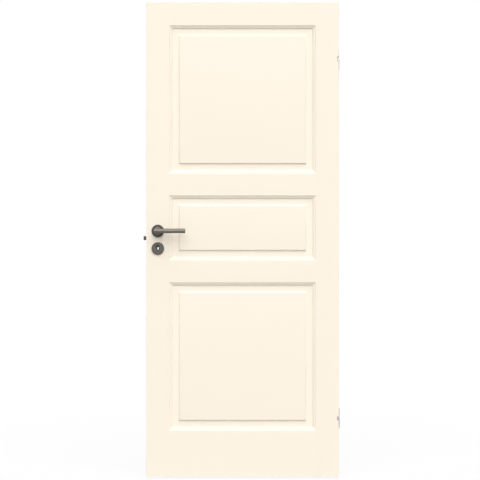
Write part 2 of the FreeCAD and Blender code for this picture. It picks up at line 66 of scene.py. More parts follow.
latch_low, latch_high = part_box("latch_stile")
hinge_low, hinge_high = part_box("hinge_stile")
leaf_left, leaf_right = latch_low.x, hinge_high.x
leaf_bottom, leaf_top = latch_low.z, latch_high.z
face_out = latch_high.y


def middle(node):
    low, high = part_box(node)
    return (low + high) / 2


lever_axis = middle("front_lever_rose")
key_axis = middle("front_key_rose")
print("leaf", round(leaf_right - leaf_left, 3), "by", round(leaf_top - leaf_bottom, 3))

# %% [markdown]
# A long lens flattens the view, as in the picture: only a sliver of the keyhole's inner wall
# shows. The camera looks straight at the front face. Its distance follows from that sliver, and
# the lens from the leaf's height in the picture.

# %% Camera
PICTURE_SIDE = 480
LEAF_EDGES_PX = (146.15, 338.95)
LEAF_ENDS_PX = (2.5, 476.6)
CAMERA_DISTANCE = 6.7
SENSOR = 36.0

metres_per_pixel = (leaf_top - leaf_bottom) / (LEAF_ENDS_PX[1] - LEAF_ENDS_PX[0])
centre_px = PICTURE_SIDE / 2
camera_x = (leaf_left + leaf_right) / 2 + (centre_px - sum(LEAF_EDGES_PX) / 2) * metres_per_pixel
camera_z = leaf_top - (centre_px - LEAF_ENDS_PX[0]) * metres_per_pixel
lens_data = bpy.data.cameras.new("camera")
lens_data.sensor_width = SENSOR
lens_data.lens = SENSOR * CAMERA_DISTANCE / (PICTURE_SIDE * metres_per_pixel)
camera = bpy.data.objects.new("camera", lens_data)
camera.location = (camera_x, -face_out - CAMERA_DISTANCE, camera_z)
camera.rotation_euler = (math.radians(90), 0, 0)
scene.collection.objects.link(camera)
scene.camera = camera
print("lens", round(lens_data.lens, 1), "mm")

# %% [markdown]
# Shader maths is easier to read as an expression. This small class wraps one output socket, and
# adding or multiplying two of them adds the Math node that does it. Every other node comes from
# one method of its tree.

# %% Expressions on sockets


class Sock:
    def __init__(self, tree, socket):
        self.tree, self.socket = tree, socket

    def math(self, operation, other):
        return self.tree.add("ShaderNodeMath", {"operation": operation}, [self, other])

    def __add__(self, other):
        return self.math("ADD", other)

    def __mul__(self, other):
        return self.math("MULTIPLY", other)

    __radd__, __rmul__ = __add__, __mul__


class Tree:
    """A node tree with one way to add a node: its settings first, then its inputs."""

    def __init__(self, node_tree):
        self.nodes, self.links = node_tree.nodes, node_tree.links

    def add(self, kind, settings=None, inputs=(), output=0):
        node = self.nodes.new(kind)
        for name, value in (settings or {}).items():
            setattr(node, name, value)
        pairs = inputs.items() if isinstance(inputs, dict) else enumerate(inputs)
        for key, value in pairs:
            if isinstance(value, Sock):
                self.links.new(value.socket, node.inputs[key])
            else:
                node.inputs[key].default_value = value
        return Sock(self, node.outputs[output])


def material(name, base, roughness, metallic=0.0):
    """A new material with one Principled node. Returns the material, its tree and that node."""
    made = bpy.data.materials.new(name)
    made.use_nodes = True
    shader = made.node_tree.nodes["Principled BSDF"]
    shader.inputs["Base Color"].default_value = (*base, 1)
    shader.inputs["Roughness"].default_value = roughness
    shader.inputs["Metallic"].default_value = metallic
    return made, Tree(made.node_tree), shader


def plug(tree, source, shader, name):
    tree.links.new(source.socket, shader.inputs[name])


print("socket helper ready")

# %% [markdown]
# Paint and metal need the same three things: a noise that changes over the surface, two tones
# mixed by it, and a relief too fine to model. Pictures could give them too, but noise on Object
# coordinates has no seams and needs no unwrapping. A Mix node keeps a set of sockets for each
# type of value, so its colour sockets are picked by number.

# %% Noise, tone and relief
MIX_FACTOR, MIX_FIRST, MIX_SECOND, MIX_COLOUR = 0, 6, 7, 2


def noise(tree, at, scale, detail):
    return tree.add("ShaderNodeTexNoise", None, {"Vector": at, "Scale": scale, "Detail": detail})


def tinted(tree, shader, factor, first, second):
    """Base colour from the first tone to the second as the factor rises."""
    tone = tree.add("ShaderNodeMix", {"data_type": "RGBA"}, {
        MIX_FACTOR: factor, MIX_FIRST: (*first, 1), MIX_SECOND: (*second, 1)}, MIX_COLOUR)
    plug(tree, tone, shader, "Base Color")


def embossed(tree, shader, height, strength, distance):
    bump = tree.add("ShaderNodeBump", None,
                    {"Strength": strength, "Distance": distance, "Height": height})
    plug(tree, bump, shader, "Normal")


print("surface helpers ready")

# %% [markdown]
# The leaf is sprayed with a cream satin enamel. Up close such paint isn't flat: it has a fine
# orange peel about a millimetre across, the boards' long fibres lift it very slightly, and the
# tone drifts by a percent or so. The fibres run along each board, so the stiles and the rails
# need the same paint with the stretch turned.

# %% Paint
CREAM = (0.965, 0.885, 0.760)
CREAM_DEEP = (0.948, 0.862, 0.730)
TONE_DRIFT = {"scale": 3.5, "detail": 3.0}
ORANGE_PEEL = {"scale": 850.0, "detail": 2.0}
FIBRES = {"scale": 320.0, "detail": 3.0}
FIBRE_STRETCH = 0.03
DEEP_SHARE = 0.8
SATIN = 0.36
SMOOTHEST = 0.28
DRIFT_DULLS = 0.10
PEEL_DULLS = 0.06
RELIEF_SHARE = 0.5
PAINT_RELIEF = {"strength": 0.12, "distance": 0.00012}
PAINT_SPECULAR = 0.42


def enamel(name, light, deep, stretch):
    made, tree, shader = material(name, light, SATIN)
    spot = tree.add("ShaderNodeTexCoord", output="Object")
    fibres_at = tree.add("ShaderNodeMapping", None, {"Vector": spot, "Scale": stretch})
    drift = noise(tree, spot, **TONE_DRIFT)
    peel = noise(tree, spot, **ORANGE_PEEL)
    fibres = noise(tree, fibres_at, **FIBRES)
    tinted(tree, shader, drift * DEEP_SHARE, light, deep)
    plug(tree, drift * DRIFT_DULLS + peel * PEEL_DULLS + SMOOTHEST, shader, "Roughness")
    embossed(tree, shader, peel * RELIEF_SHARE + fibres * RELIEF_SHARE, **PAINT_RELIEF)
    shader.inputs["Specular IOR Level"].default_value = PAINT_SPECULAR
    return made


paint_up = enamel("paint_up", CREAM, CREAM_DEEP, (1.0, 1.0, FIBRE_STRETCH))
paint_across = enamel("paint_across", CREAM, CREAM_DEEP, (FIBRE_STRETCH, 1.0, 1.0))
print("paints", paint_up.name, paint_across.name)

# %% [markdown]
# The handle set is dark satin nickel. Its turned pieces are brushed in rings and its bar along
# its length, so one maker takes the way in which the brushing runs. Rings need the distance
# from the turning axis, which Vector Math measures once the axis is moved to the origin. The
# lever rose's nickel is painted darker, as painted shade of the lever over it, and the key rose's
# is painted lighter, as painted light. The hinges are bright zinc, so they are nearly as pale as
# the paint beside them.

# %% Metals
NICKEL = (0.118, 0.110, 0.096)
NICKEL_LIGHT = (0.190, 0.178, 0.156)
# The lever rose and the key rose are one nickel kept as two copies: the lever rose's tones are
# darkened as painted shade of the lever over it, and the key rose's are lightened as painted light.
ROSE_PAINTED_SHADE = (0.058, 0.052, 0.046)
ROSE_PAINTED_SHADE_PALE = (0.098, 0.090, 0.080)
KEY_ROSE_PAINTED_LIGHT = (0.078, 0.072, 0.064)
KEY_ROSE_PAINTED_LIGHT_PALE = (0.134, 0.125, 0.111)
STEEL = (0.074, 0.072, 0.066)
STEEL_LIGHT = (0.116, 0.113, 0.104)
ZINC = (0.79, 0.785, 0.765)
ZINC_LIGHT = (0.90, 0.895, 0.875)
STREAKS = {"scale": 2600.0, "detail": 3.0}
CLOUD = {"scale": 55.0, "detail": 2.0}
STREAK_TONE = 0.4
CLOUD_TONE = 0.6
STREAKS_DULL = 0.10
CLOUD_DULLS = 0.06
BRUSHED_RELIEF = {"strength": 0.15, "distance": 0.00003}
BRUSH_STRETCH = 0.02
ZINC_STRETCH = 0.05


def brushed(name, dark, light, roughness, stretch=None, axis=None):
    """Noise averages a half, so half of what it adds comes off the wanted roughness first."""
    made, tree, shader = material(name, light, roughness, 1.0)
    spot = tree.add("ShaderNodeTexCoord", output="Object")
    if axis is not None:
        moved = tree.add("ShaderNodeMapping", None,
                         {"Vector": spot, "Location": (-axis.x, 0.0, -axis.z), "Scale": (1, 0, 1)})
        spread = tree.add("ShaderNodeVectorMath", {"operation": "LENGTH"}, [moved], "Value")
        streak_at = tree.add("ShaderNodeCombineXYZ", None, [spread])
    else:
        streak_at = tree.add("ShaderNodeMapping", None, {"Vector": spot, "Scale": stretch})
    streaks = noise(tree, streak_at, **STREAKS)
    cloud = noise(tree, spot, **CLOUD)
    tinted(tree, shader, cloud * CLOUD_TONE + streaks * STREAK_TONE, dark, light)
    smoothest = roughness - (STREAKS_DULL + CLOUD_DULLS) / 2
    plug(tree, streaks * STREAKS_DULL + cloud * CLOUD_DULLS + smoothest, shader, "Roughness")
    embossed(tree, shader, streaks, **BRUSHED_RELIEF)
    return made


lever_metal = brushed("nickel_bar", NICKEL, NICKEL_LIGHT, roughness=0.46,
                      stretch=(BRUSH_STRETCH, 1.0, 1.0))
# The lever rose takes the darker copy, as painted shade, and the key rose the lighter copy, as
# painted light.
rose_metal_painted_shade = brushed("nickel_rose_painted_shade", ROSE_PAINTED_SHADE, ROSE_PAINTED_SHADE_PALE, roughness=0.42, axis=lever_axis)
key_rose_metal_painted_light = brushed("nickel_key_rose_painted_light", KEY_ROSE_PAINTED_LIGHT, KEY_ROSE_PAINTED_LIGHT_PALE, roughness=0.42, axis=key_axis)
lock_metal = brushed("lock_steel", STEEL, STEEL_LIGHT, roughness=0.38,
                     stretch=(1.0, 1.0, BRUSH_STRETCH))
hinge_metal = brushed("hinge_zinc", ZINC, ZINC_LIGHT, roughness=0.32,
                      stretch=(1.0, 1.0, ZINC_STRETCH))
for metal in (lever_metal, rose_metal_painted_shade, key_rose_metal_painted_light, lock_metal, hinge_metal):
    print("metal", metal.name)

# %% [markdown]
# The lock case holds the follower, and the square spindle runs through both. They sit inside
# the stile, where the keyhole lets only a little of the case be seen, so the frame's own solids
# stay. They just take a finish, through their material slots.

# %% Finish the solids that stay
INSIDE_THE_STILE = ("lock_case", "lock_follower", "spindle")

for node in INSIDE_THE_STILE:
    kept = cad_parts[node]
    kept.data.materials.clear()
    kept.data.materials.append(lock_metal)
print("finished", *INSIDE_THE_STILE)

# %% [markdown]
# Every modelled piece starts as a bmesh and ends the same way: outward normals, smooth faces
# with sharp edges where it turns by more than a set angle, one material, the body that it rides
# on and the node that it stands for. One helper does that, so no piece can miss a step.

# %% Turn a form into a finished piece
SHARP = math.radians(32)
SHARP_BEVEL = math.radians(20)
BEVEL_FROM = math.radians(50)
BEVEL_SEGMENTS = 2


def polish(mesh, made, sharp=SHARP):
    mesh.shade_smooth()
    mesh.set_sharp_from_angle(angle=sharp)
    mesh.materials.clear()
    mesh.materials.append(made)


def solid(name, form, made):
    """An object at the world's origin that holds the form's mesh."""
    bmesh.ops.recalc_face_normals(form, faces=form.faces)
    mesh = bpy.data.meshes.new(name)
    form.to_mesh(mesh)
    form.free()
    polish(mesh, made)
    piece = bpy.data.objects.new(name, mesh)
    scene.collection.objects.link(piece)
    return piece


def applied(piece, made, sharp=SHARP):
    """The piece with its modifiers worked into its mesh."""
    shown = piece.evaluated_get(bpy.context.evaluated_depsgraph_get())
    mesh = bpy.data.meshes.new_from_object(shown)
    piece.modifiers.clear()
    piece.data = mesh
    polish(mesh, made, sharp)
    return piece


def combined(piece, others, operation, made):
    """A boolean with each of the others, which are used up."""
    for other in others:
        step = piece.modifiers.new(other.name, "BOOLEAN")
        step.operation, step.solver, step.object = operation, "EXACT", other
    applied(piece, made)
    for other in others:
        bpy.data.objects.remove(other)
    return piece


def bevelled(piece, width, made):
    """A small bevel on every edge that turns sharply. The flat faces beside it stay flat."""
    bevel = piece.modifiers.new("bevel", "BEVEL")
    bevel.width, bevel.segments = width * MM, BEVEL_SEGMENTS
    bevel.limit_method, bevel.angle_limit = "ANGLE", BEVEL_FROM
    return applied(piece, made, SHARP_BEVEL)


def fitted(piece, body, slot, *nodes):
    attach(piece, body)
    if nodes:
        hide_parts(*nodes)
    print(piece.name, len(piece.data.polygons), "faces on", body)


print("piece helpers ready")

# %% [markdown]
# The moulding is planed on the edge of each board. A bead rolls over from the face, then come a
# shelf, an ovolo and a small lip, and below the lip is the groove for the panel. Both round
# parts start level, so an arc from level to its own fall draws them, and a dozen steps make it
# smooth where the solid has five. Each flat falls by a hair, as a cutter's draft leaves it. The
# leaf's outer edges are only rounded, by just under a quarter turn.

# %% The moulding's outline
ARC_STEPS = 12
BEAD = (4.8, 4.4)
SHELF = 2.4
OVOLO = (6.8, 5.5)
LIP = 2.8
FLOOR_DEPTH = 11.0
GROOVE = (12.0, 10.0)
DRAFT = 0.1
ARRIS = 1.5
QUARTER = 0.999


def rolled(width, drop):
    """Points of an arc that starts level and falls by drop over width, without its start."""
    radius = (width ** 2 + drop ** 2) / (2 * drop)
    turn = math.asin(width / radius)
    return [(radius * math.sin(turn * k / ARC_STEPS), radius * (1 - math.cos(turn * k / ARC_STEPS)))
            for k in range(1, ARC_STEPS + 1)]


ovolo_from = BEAD[0] + SHELF
lip_from = ovolo_from + OVOLO[0]
STICKING = lip_from + LIP
wall = face_out / MM - GROOVE[0] / 2
ovolo_top = BEAD[1] + DRAFT
moulded = [(0.0, 0.0)] + rolled(*BEAD) + [(ovolo_from, ovolo_top)]
moulded += [(ovolo_from + across, ovolo_top + fall) for across, fall in rolled(*OVOLO)]
moulded += [(lip_from, FLOOR_DEPTH - DRAFT), (STICKING, FLOOR_DEPTH), (STICKING, wall)]
moulded += [(STICKING - GROOVE[1], wall + DRAFT)]
square = [(0.0, fall) for _, fall in moulded]
rounded = [(-ARRIS, 0.0)]
rounded += [(-ARRIS + across, fall) for across, fall in rolled(ARRIS, ARRIS * QUARTER)]
print("moulding", len(moulded), "points,", round(STICKING, 1), "mm wide")

# %% [markdown]
# A board is its section pushed along its length. A rail's ends are scribed over the stile's
# moulding: at each depth they stop where that moulding is, so every point of the section keeps
# the reach of the moulding at its own depth. The two mouldings then meet at 45 degrees. A
# rail's moulding stands a hair proud of the stile's, so that no two faces lie in one plane.

# %% Boards
GLUE_LINE = 0.1
RAIL_PROUD = 0.02


def section(low, high, low_edge, high_edge, reaches=(), proud=0.0):
    """(across, depth, reach) round a board whose flat face lies from low to high."""
    front = []
    for start, way, edge in ((low, -1, low_edge), (high, 1, high_edge)):
        side = []
        for (over, fall), reach in zip_longest(edge, reaches, fillvalue=0.0):
            depth = -face_out + (fall - (proud if reach > 0 else 0)) * MM
            side.append((start + way * over * MM, depth, reach * MM))
        front += reversed(side) if way < 0 else side
    return front + [(across, -depth, reach) for across, depth, reach in reversed(front)]


def pushed(form, first, last, points):
    """The sides between two ends. Neighbours that share a flat side make one face.

    The count starts at the board's front face, so it never starts inside a flat side.
    """
    sides = []
    start = len(points) // 4 - 1
    for k in range(start, start + len(points)):
        here, after = k % len(points), (k + 1) % len(points)
        level = points[here][0] == points[after][0]
        if level and sides and sides[-1][1]:
            sides[-1][0].append(after)
        else:
            sides.append(([here, after], level))
    for side, _ in sides:
        form.faces.new([first[k] for k in side] + [last[k] for k in reversed(side)])


def stile(name, points):
    form = bmesh.new()
    ends = [[form.verts.new((across, depth, z)) for across, depth, _ in points]
            for z in (leaf_bottom, leaf_top)]
    pushed(form, *ends, points)
    for end in ends:
        form.faces.new(end)
    return solid(name, form, paint_up)


def rail(name, points, left, right):
    """The scribed ends are strips from the lower edge to the upper, front and back."""
    form = bmesh.new()
    ends = [[form.verts.new((start + inward * (reach + GLUE_LINE * MM), depth, across))
             for across, depth, reach in points] for start, inward in ((left, 1), (right, -1))]
    pushed(form, *ends, points)
    half, count = len(points) // 4, len(points)
    for end in ends:
        for k in range(half - 1):
            strip = (half - 1 - k, half - 2 - k, half + k + 1, half + k)
            form.faces.new([end[p] for p in strip])
            form.faces.new([end[count - 1 - p] for p in strip])
        form.faces.new([end[p] for p in (0, 2 * half - 1, 2 * half, count - 1)])
    return solid(name, form, paint_across)


left_arris = latch_high.x - STICKING * MM
right_arris = hinge_low.x + STICKING * MM
for node in RAILS:
    low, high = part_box(node)
    has_below, has_above = node != "bottom_rail", node != "top_rail"
    bottom = low.z + (STICKING * MM if has_below else 0)
    top = high.z - (STICKING * MM if has_above else 0)
    points = section(bottom, top, moulded if has_below else square,
                     moulded if has_above else square, [over for over, _ in moulded], RAIL_PROUD)
    fitted(rail("painted_" + node, points, left_arris, right_arris), "leaf", "painted_wood", node)

# %% [markdown]
# A joiner cuts a stile with a chisel, a drill and a router. Here each cut is a plain solid that
# a boolean takes away: a block for a straight recess, and a prism between two outlines for a
# bore or a slot with round ends.

# %% Solids that cut
BORE_STEPS = 48
SLOT_STEPS = 24


def block(low, high):
    form = bmesh.new()
    bmesh.ops.create_cube(form, size=1)
    low, high = Vector(low), Vector(high)
    for vert in form.verts:
        vert.co = (low + high) / 2 + vert.co * (high - low)
    return solid("block", form, paint_up)


def prism(near, far):
    """A straight solid between two outlines with the same number of corners."""
    form = bmesh.new()
    near, far = ([form.verts.new(place) for place in outline] for outline in (near, far))
    for k in range(len(near)):
        form.faces.new((near[k - 1], near[k], far[k], far[k - 1]))
    form.faces.new(near)
    form.faces.new(far)
    return solid("prism", form, paint_up)


def through_face(outline, depth_from, depth_to):
    """A prism from face to face of the leaf. The outline's corners are (x, z)."""
    return prism([(x, depth_from, z) for x, z in outline], [(x, depth_to, z) for x, z in outline])


def ring_points(axis, radius):
    turns = [k * math.tau / BORE_STEPS for k in range(BORE_STEPS)]
    return [(axis.x + radius * math.cos(t), axis.z + radius * math.sin(t)) for t in turns]


def slot_points(half_width, half_length):
    """A slot with round ends about (0, 0), as (across, up) corners."""
    turns = [k * math.pi / SLOT_STEPS for k in range(SLOT_STEPS + 1)]
    upper = [(half_width * math.cos(t), half_length - half_width + half_width * math.sin(t))
             for t in turns]
    return upper + [(-across, -up) for across, up in upper]


print("cutters ready")

# %% [markdown]
# Each stile runs the full height and is then cut for its ironwork, as on the real door. The
# latch stile is let out for the faceplate and the lock case, bored for the lever and opened
# behind the keyhole. The hinge stile takes the two plates and has a notch at each hinge.

# %% Stiles
CUT_PLAY = 0.2
CUT_OVER = 1.0
CASE_PLAY = 0.5
LEVER_BORE = 24.0
KEY_PASSAGE = (20.0, 36.0)
HINGE_PLATE = (2.5, 26.0)
HINGE_NOTCH = (7.0, 21.0)

latch_stile = stile("painted_latch_stile", section(leaf_left, left_arris, rounded, moulded))
plate_low, plate_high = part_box("lock_faceplate")
plate_at = middle("lock_faceplate")
recess = slot_points(plate_high.y + CUT_PLAY * MM, plate_high.z - plate_at.z + CUT_PLAY * MM)
case_low, case_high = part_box("lock_case")
room = Vector((CASE_PLAY, CASE_PLAY, CASE_PLAY)) * MM
past = 2 * face_out
passage = [(key_axis.x + x * KEY_PASSAGE[0] / 2 * MM, key_axis.z + z * KEY_PASSAGE[1] / 2 * MM)
           for x, z in ((-1, -1), (1, -1), (1, 1), (-1, 1))]
combined(latch_stile, [
    prism(*[[(x, y, plate_at.z + z) for y, z in recess] for x in (leaf_left - past, plate_high.x)]),
    block(case_low - room, case_high + room),
    through_face(ring_points(lever_axis, LEVER_BORE / 2 * MM), -past, past),
    through_face(passage, -past, past)], "DIFFERENCE", paint_up)
fitted(latch_stile, "leaf", "painted_wood", "latch_stile")

hinge_stile = stile("painted_hinge_stile", section(right_arris, leaf_right, moulded, rounded))
cuts = []
for name in HINGES:
    low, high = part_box(name + "_hinge_door_half")
    level = (low.z + high.z) / 2
    cuts.append(block((leaf_right - HINGE_PLATE[0] * MM, face_out - HINGE_PLATE[1] * MM,
                       low.z - CUT_PLAY * MM), (leaf_right + past, past, high.z + CUT_PLAY * MM)))
    cuts.append(block((leaf_right - HINGE_NOTCH[0] * MM, -past, level - HINGE_NOTCH[1] / 2 * MM),
                      (leaf_right + past, past, level + HINGE_NOTCH[1] / 2 * MM)))
combined(hinge_stile, cuts, "DIFFERENCE", paint_up)
fitted(hinge_stile, "leaf", "painted_wood", "hinge_stile")

# %% [markdown]
# A raised panel is a stack of rectangles. Each step of its section, from the tongue in over the
# sunk margin and up the S-curved rise to the field, is one rectangle a little further in, and
# joining them gives the mitred corners by itself.

# %% Panels
TONGUE = (8.0, 5.9)
MARGIN = 22.5
RISE = 8.0
FIELD_DEPTH = 4.0


def panel_steps():
    """(in from the tongue's tip, out from the middle) in millimetres, from the tip to the field."""
    floor = face_out / MM - FLOOR_DEPTH
    lift = (face_out / MM - FIELD_DEPTH - floor) / 2
    foot = TONGUE[0] + MARGIN
    lower_bend = [(foot + across, floor + up) for across, up in rolled(RISE / 2, lift)]
    upper_bend = [(foot + RISE - across, floor + 2 * lift - up)
                  for across, up in reversed(rolled(RISE / 2, lift)[:-1])]
    crest = [(foot + RISE, floor + 2 * lift)]
    flat = [(0.0, TONGUE[1]), TONGUE, (TONGUE[0], floor), (foot, floor)]
    return flat + lower_bend + upper_bend + crest


def raised_panel(node):
    low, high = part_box(node)
    form = bmesh.new()
    rings = []
    steps = panel_steps()
    for side, order in ((-1, reversed(steps)), (1, steps)):
        for inset, out in order:
            left, right = low.x + inset * MM, high.x - inset * MM
            bottom, top = low.z + inset * MM, high.z - inset * MM
            rings.append([form.verts.new((x, side * out * MM, z)) for x, z in
                          ((left, bottom), (right, bottom), (right, top), (left, top))])
    for inner, after in zip(rings, rings[1:]):
        for k in range(4):
            form.faces.new((inner[k - 1], inner[k], after[k], after[k - 1]))
    form.faces.new(rings[0])
    form.faces.new(rings[-1])
    return solid("painted_" + node, form, paint_up)


for node in PANELS:
    fitted(raised_panel(node), "leaf", "painted_wood", node)

# %% [markdown]
# The roses and levers are turned on a lathe, so they are made as turned outlines here too. The
# corners of each outline get a soft turn, because a brushed edge is always broken a little and
# that is what catches the light.

# %% Turned forms
TURN_STEPS = 72
SOFT_STEPS = 7
ON_THE_AXIS = 1e-6


def softened(corners):
    """An outline whose corners are (radius, way, size). A size over 0 rounds that corner."""
    points = []
    for k, (radius, way, size) in enumerate(corners):
        here = Vector((radius, way))
        if not size:
            points.append(here)
            continue
        before, after = (Vector(corners[(k + step) % len(corners)][:2]) for step in (-1, 1))
        start = here + (before - here).normalized() * size
        end = here + (after - here).normalized() * size
        for j in range(SOFT_STEPS + 1):
            t = j / SOFT_STEPS
            points.append(start * (1 - t) ** 2 + here * (2 * t * (1 - t)) + end * t ** 2)
    return points


def turned(name, corners, start, toward, made, closed=False, steps=TURN_STEPS):
    """Turned about the line from start along toward. Corners are in millimetres."""
    toward = Vector(toward)
    side = toward.orthogonal().normalized()
    up = toward.cross(side)
    form = bmesh.new()
    rings = []
    for radius, way in softened(corners):
        centre = Vector(start) + toward * way * MM
        if radius < ON_THE_AXIS:
            rings.append([form.verts.new(centre)] * steps)
            continue
        rings.append([form.verts.new(centre + (side * math.cos(k * math.tau / steps)
                                               + up * math.sin(k * math.tau / steps)) * radius * MM)
                      for k in range(steps)])
    pairs = list(zip(rings, rings[1:])) + ([(rings[-1], rings[0])] if closed else [])
    for inner, after in pairs:
        for k in range(steps):
            corner_verts = dict.fromkeys((inner[k - 1], inner[k], after[k], after[k - 1]))
            form.faces.new(corner_verts)
    return solid(name, form, made)


print("turned forms ready")

# %% [markdown]
# Each lever rose is a shallow cap with a rolled rim and a bore for the lever's neck. The key
# roses are the same cap with a keyhole through it. The keyhole is cut out with a prism, and a
# narrow bevel breaks its edge, as the punch does on the real cap.

# %% Roses
ROSE_RIM = 2.6
FLAT_EDGE = 0.1
BORE_RADIUS = 10.3
BORE_EDGE = 0.6
KEY_HEAD = (7.8, 8.5)
KEY_SLOT = (8.0, 18.5)
KEY_STEPS = 40
KEY_BEVEL = 0.4


def cap_corners(node, inner):
    low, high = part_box(node)
    radius, thick = (high.x - low.x) / 2 / MM, (high.y - low.y) / MM
    flat = radius - ROSE_RIM - FLAT_EDGE
    return [(inner, 0, 0), (radius, 0, 0), (radius, thick, ROSE_RIM), (flat, thick, 0),
            (inner, thick, BORE_EDGE if inner else 0)]


def keyhole_outline():
    """The round head of the keyhole with its slot below, as (x, z) corners."""
    head_z = key_axis.z + KEY_HEAD[1] * MM
    spread = math.asin(KEY_SLOT[0] / 2 / KEY_HEAD[0])
    arc = [spread - math.pi / 2 + (math.tau - 2 * spread) * k / KEY_STEPS
           for k in range(KEY_STEPS + 1)]
    radius = KEY_HEAD[0] * MM
    corners = [(key_axis.x + radius * math.cos(t), head_z + radius * math.sin(t)) for t in arc]
    foot = head_z - KEY_SLOT[1] * MM
    half = KEY_SLOT[0] / 2 * MM
    return corners + [(key_axis.x - half, foot), (key_axis.x + half, foot)]


for face, side in FACES.items():
    start = Vector((lever_axis.x, side * face_out, lever_axis.z))
    rose = turned(face + "_turned_lever_rose", cap_corners(face + "_lever_rose", BORE_RADIUS),
                  start, (0, side, 0), rose_metal_painted_shade, closed=True)
    fitted(rose, "leaf", "handle_metal", face + "_lever_rose")
    start = Vector((key_axis.x, side * face_out, key_axis.z))
    key_rose = turned(face + "_turned_key_rose", cap_corners(face + "_key_rose", 0),
                      start, (0, side, 0), key_rose_metal_painted_light)
    combined(key_rose, [through_face(keyhole_outline(), side * face_out / 2, side * past)],
             "DIFFERENCE", key_rose_metal_painted_light)
    bevelled(key_rose, KEY_BEVEL, key_rose_metal_painted_light)
    fitted(key_rose, "leaf", "handle_metal", face + "_key_rose")

# %% [markdown]
# A lever is a round bar welded across a turned neck. The neck carries a collar that stands just
# clear of the rose, with a small cove where the neck leaves it. Bar and neck are turned apart
# and joined by a boolean. A grub screw is let into the neck's underside, a little deeper than
# the hole below it, so that metal holds it all round.

# %% Levers
BAR_RADIUS = 10.0
BAR_HEEL = 14.0
BAR_END = 2.0
COLLAR_GAP = 0.5
COLLAR_LENGTH = 8.0
COLLAR_BACK_EDGE = 0.5
COLLAR_FRONT_EDGE = 1.8
COVE = 1.5
GRUB_RADIUS = 2.5
GRUB_LENGTH = 3.0
GRUB_EDGE = 0.4
GRUB_SUNK = 1.0
GRUB_STEPS = 32
PIT_SHARE = 0.55
PIT_FLOOR = 1.0
PIT_SIDES = 6
HOLE_FLOOR = 2.2
HOLE_LENGTH = 6.0
DOWN = (0, 0, -1)


def stub_down(name, radius, back, front, edge, place, made, steps):
    """A round or flat-sided plug that points down, from back to front below the place."""
    corners = [(0, back, 0), (radius, back, 0), (radius, front, edge), (0, front, 0)]
    return turned(name, corners, place, DOWN, made, steps=steps)


def grub_screw(name, place, made):
    """A short set screw with a hexagonal pit, let into the underside of the neck."""
    screw = stub_down(name, GRUB_RADIUS, 0, GRUB_LENGTH, GRUB_EDGE, place, made, GRUB_STEPS)
    pit = stub_down("pit", GRUB_RADIUS * PIT_SHARE, PIT_FLOOR, GRUB_LENGTH + CUT_OVER, 0,
                    place, made, PIT_SIDES)
    return combined(screw, [pit], "DIFFERENCE", made)


for face, side in FACES.items():
    low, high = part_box(face + "_lever")
    rose_thick = (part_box(face + "_lever_rose")[1].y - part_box(face + "_lever_rose")[0].y) / MM
    bar_y = side * (max(abs(low.y), abs(high.y)) - BAR_RADIUS * MM)
    reach = (high.x - lever_axis.x) / MM
    collar = (high.z - low.z) / 2 / MM
    neck_end = (abs(bar_y) - face_out) / MM
    collar_back = rose_thick + COLLAR_GAP
    collar_front = collar_back + COLLAR_LENGTH
    neck = [(0, 0, 0), (BAR_RADIUS, 0, 0), (BAR_RADIUS, collar_back, 0),
            (collar, collar_back, COLLAR_BACK_EDGE), (collar, collar_front, COLLAR_FRONT_EDGE),
            (BAR_RADIUS, collar_front, COVE), (BAR_RADIUS, neck_end, 0), (0, neck_end, 0)]
    lever = turned(face + "_turned_lever", neck,
                   (lever_axis.x, side * face_out, lever_axis.z), (0, side, 0), lever_metal)
    bar = turned("bar", [(0, -BAR_HEEL, 0), (BAR_RADIUS, -BAR_HEEL, BAR_END),
                         (BAR_RADIUS, reach, BAR_END), (0, reach, 0)],
                 (lever_axis.x, bar_y, lever_axis.z), (1, 0, 0), lever_metal)
    combined(lever, [bar], "UNION", lever_metal)
    grub_y = side * (face_out + (collar_front + neck_end - BAR_RADIUS) / 2 * MM)
    under = Vector((lever_axis.x, grub_y, lever_axis.z - (BAR_RADIUS - HOLE_FLOOR) * MM))
    hole = stub_down("hole", GRUB_RADIUS + CUT_PLAY, 0, HOLE_LENGTH, 0, under, lever_metal,
                     GRUB_STEPS)
    combined(lever, [hole], "DIFFERENCE", lever_metal)
    fitted(lever, "handle", "handle_metal", face + "_lever")
    screw = grub_screw(face + "_grub_screw", under + Vector((0, 0, GRUB_SUNK * MM)), lock_metal)
    fitted(screw, "handle", "lock_steel")

# %% [markdown]
# The bolt, the faceplate and the hinges are flat and round stock with broken edges. Their
# solids already have the right outline, so a copy is merged into clean faces and a small bevel
# rounds every corner that turns sharply. A bevel only takes material off, so the size holds.
# The plates that screws hold are countersunk for them after that.

# %% Softened ironwork
SCREW_HEAD = 3.6
HEAD_TAPER = 0.6
SCREW_SINK = 1.2
SCREW_SUNK = 0.1
SCREW_PLAY = 0.15
SCREW_STEPS = 40
PLATE_SCREW_IN = 12.0
SCREW_ROWS = 12.0
SCREW_SPACING = 64.0
SAME_POINT = 1e-6
STILL_FLAT = math.radians(1)
BOLT_EDGE = 0.7
FACEPLATE_EDGE = 0.3
HINGE_EDGE = 0.4
PIN_EDGE = 0.8

screw_places = {"lock_faceplate": [
    (Vector((plate_low.x, 0, z)), (-1, 0, 0))
    for z in (plate_low.z + PLATE_SCREW_IN * MM, plate_high.z - PLATE_SCREW_IN * MM)]}
for name in HINGES:
    node = name + "_hinge_door_half"
    rows = [face_out + (row * SCREW_ROWS - HINGE_PLATE[1]) / 2 * MM for row in (-1, 1)]
    levels = [middle(node).z + up * SCREW_SPACING / 2 * MM for up in (-1, 1)]
    screw_places[node] = [(Vector((leaf_right, row, z)), (1, 0, 0)) for row in rows for z in levels]


